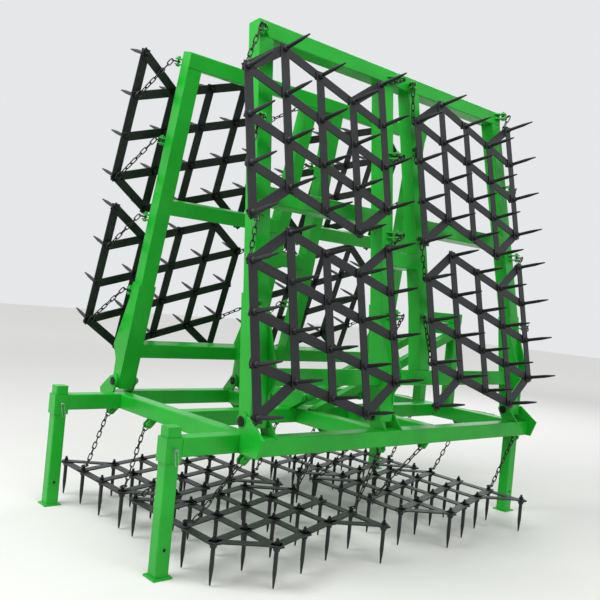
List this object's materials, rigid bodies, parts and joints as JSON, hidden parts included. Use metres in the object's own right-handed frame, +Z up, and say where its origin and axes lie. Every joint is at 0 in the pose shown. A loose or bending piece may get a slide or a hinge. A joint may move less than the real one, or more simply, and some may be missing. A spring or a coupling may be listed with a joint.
{
  "type": "folded grassland harrow",
  "caption": "Three-point grassland harrow with two folding wings, hanging sections of spike tines on chains, standing on four parking legs with the wings folded up.",
  "frame": {"origin": "centre of the whole model's box, on the floor", "axes": "+Y forwards to the tractor, +X to the machine's right, +Z up"},
  "size_m": [2.3983, 3.2439, 3.0338],
  "materials": {
    "green_paint": "gloss leaf green enamel",
    "satin_black": "satin black paint",
    "chain_steel": "dull dark steel",
    "pin_steel": "blackened steel",
    "chrome_rod": "hard chrome"
  },
  "bodies": {
    "frame": {"centre_chains": "chain_steel", "centre_lugs": "green_paint", "centre_section_front_left": "satin_black", "centre_section_front_right": "satin_black", "centre_section_rear_left": "satin_black", "centre_section_rear_right": "satin_black", "centre_spine": "green_paint", "cylinder_brackets": "green_paint", "front_cross_beam": "green_paint", "hinge_ears_left": "green_paint", "hinge_ears_right": "green_paint", "hinge_pins": "pin_steel", "leg_sleeves": "green_paint", "lower_link_brackets": "green_paint", "mast": "green_paint", "mast_braces": "green_paint", "mast_crossbar": "green_paint", "middle_cross_beam": "green_paint", "rear_arms": "green_paint", "rear_cross_beam": "green_paint", "side_bar_left": "green_paint", "side_bar_right": "green_paint", "third_cross_beam": "green_paint", "top_link_bracket": "green_paint"},
    "cylinder_barrel_left": {"cylinder_barrel_left": "green_paint"},
    "cylinder_barrel_right": {"cylinder_barrel_right": "green_paint"},
    "cylinder_rod_left": {"cylinder_rod_left": "chrome_rod"},
    "cylinder_rod_right": {"cylinder_rod_right": "chrome_rod"},
    "leg_front_left": {"leg_front_left": "green_paint"},
    "leg_front_right": {"leg_front_right": "green_paint"},
    "leg_rear_left": {"leg_rear_left": "green_paint"},
    "leg_rear_right": {"leg_rear_right": "green_paint"},
    "wing_left": {"wing_left_chains": "chain_steel", "wing_left_cylinder_bracket": "green_paint", "wing_left_front_mid_beam": "green_paint", "wing_left_gussets": "green_paint", "wing_left_link_beam": "green_paint", "wing_left_low_beam": "green_paint", "wing_left_lugs": "green_paint", "wing_left_posts": "green_paint", "wing_left_rear_mid_beam": "green_paint", "wing_left_section_front_inner": "satin_black", "wing_left_section_front_outer": "satin_black", "wing_left_section_rear_inner": "satin_black", "wing_left_section_rear_outer": "satin_black", "wing_left_top_beam": "green_paint"},
    "wing_right": {"wing_right_chains": "chain_steel", "wing_right_cylinder_bracket": "green_paint", "wing_right_front_mid_beam": "green_paint", "wing_right_gussets": "green_paint", "wing_right_link_beam": "green_paint", "wing_right_low_beam": "green_paint", "wing_right_lugs": "green_paint", "wing_right_posts": "green_paint", "wing_right_rear_mid_beam": "green_paint", "wing_right_section_front_inner": "satin_black", "wing_right_section_front_outer": "satin_black", "wing_right_section_rear_inner": "satin_black", "wing_right_section_rear_outer": "satin_black", "wing_right_top_beam": "green_paint"}
  },
  "joints": [
    {"name": "wing_fold_right", "type": "hinge", "parent": "frame", "child": "wing_right", "pos_m": [0.748, 0.133, 0.795], "axis": [0, 1, 0], "range_deg": [0, 96.9]},
    {"name": "cylinder_swing_right", "type": "hinge", "parent": "frame", "child": "cylinder_barrel_right", "pos_m": [0.17, -0.2, 0.815], "axis": [0, 1, 0], "range_deg": [0, 20.36]},
    {"name": "cylinder_stroke_right", "type": "slide", "parent": "cylinder_barrel_right", "child": "cylinder_rod_right", "axis": [0.894, 0, 0.4481], "range_m": [0, 0.3495]},
    {"name": "wing_fold_left", "type": "hinge", "parent": "frame", "child": "wing_left", "pos_m": [-0.748, 0.133, 0.795], "axis": [0, -1, 0], "range_deg": [0, 103.6]},
    {"name": "cylinder_swing_left", "type": "hinge", "parent": "frame", "child": "cylinder_barrel_left", "pos_m": [-0.17, -0.2, 0.815], "axis": [0, -1, 0], "range_deg": [0, 19.84]},
    {"name": "cylinder_stroke_left", "type": "slide", "parent": "cylinder_barrel_left", "child": "cylinder_rod_left", "axis": [-0.8981, 0, 0.4399], "range_m": [0, 0.3817]},
    {"name": "leg_front_left_slide", "type": "slide", "parent": "frame", "child": "leg_front_left", "axis": [0, 0, 1], "range_m": [0, 0.3]},
    {"name": "leg_front_right_slide", "type": "slide", "parent": "frame", "child": "leg_front_right", "axis": [0, 0, 1], "range_m": [0, 0.3]},
    {"name": "leg_rear_left_slide", "type": "slide", "parent": "frame", "child": "leg_rear_left", "axis": [0, 0, 1], "range_m": [0, 0.3]},
    {"name": "leg_rear_right_slide", "type": "slide", "parent": "frame", "child": "leg_rear_right", "axis": [0, 0, 1], "range_m": [0, 0.3]}
  ],
  "couplings": [
    {"joint": "cylinder_swing_right", "follows": "wing_fold_right", "ratio": 0.20963},
    {"joint": "cylinder_stroke_right", "follows": "wing_fold_right", "m_per_rad": 0.20638},
    {"joint": "cylinder_swing_left", "follows": "wing_fold_left", "ratio": 0.19099},
    {"joint": "cylinder_stroke_left", "follows": "wing_fold_left", "m_per_rad": 0.21081}
  ]
}
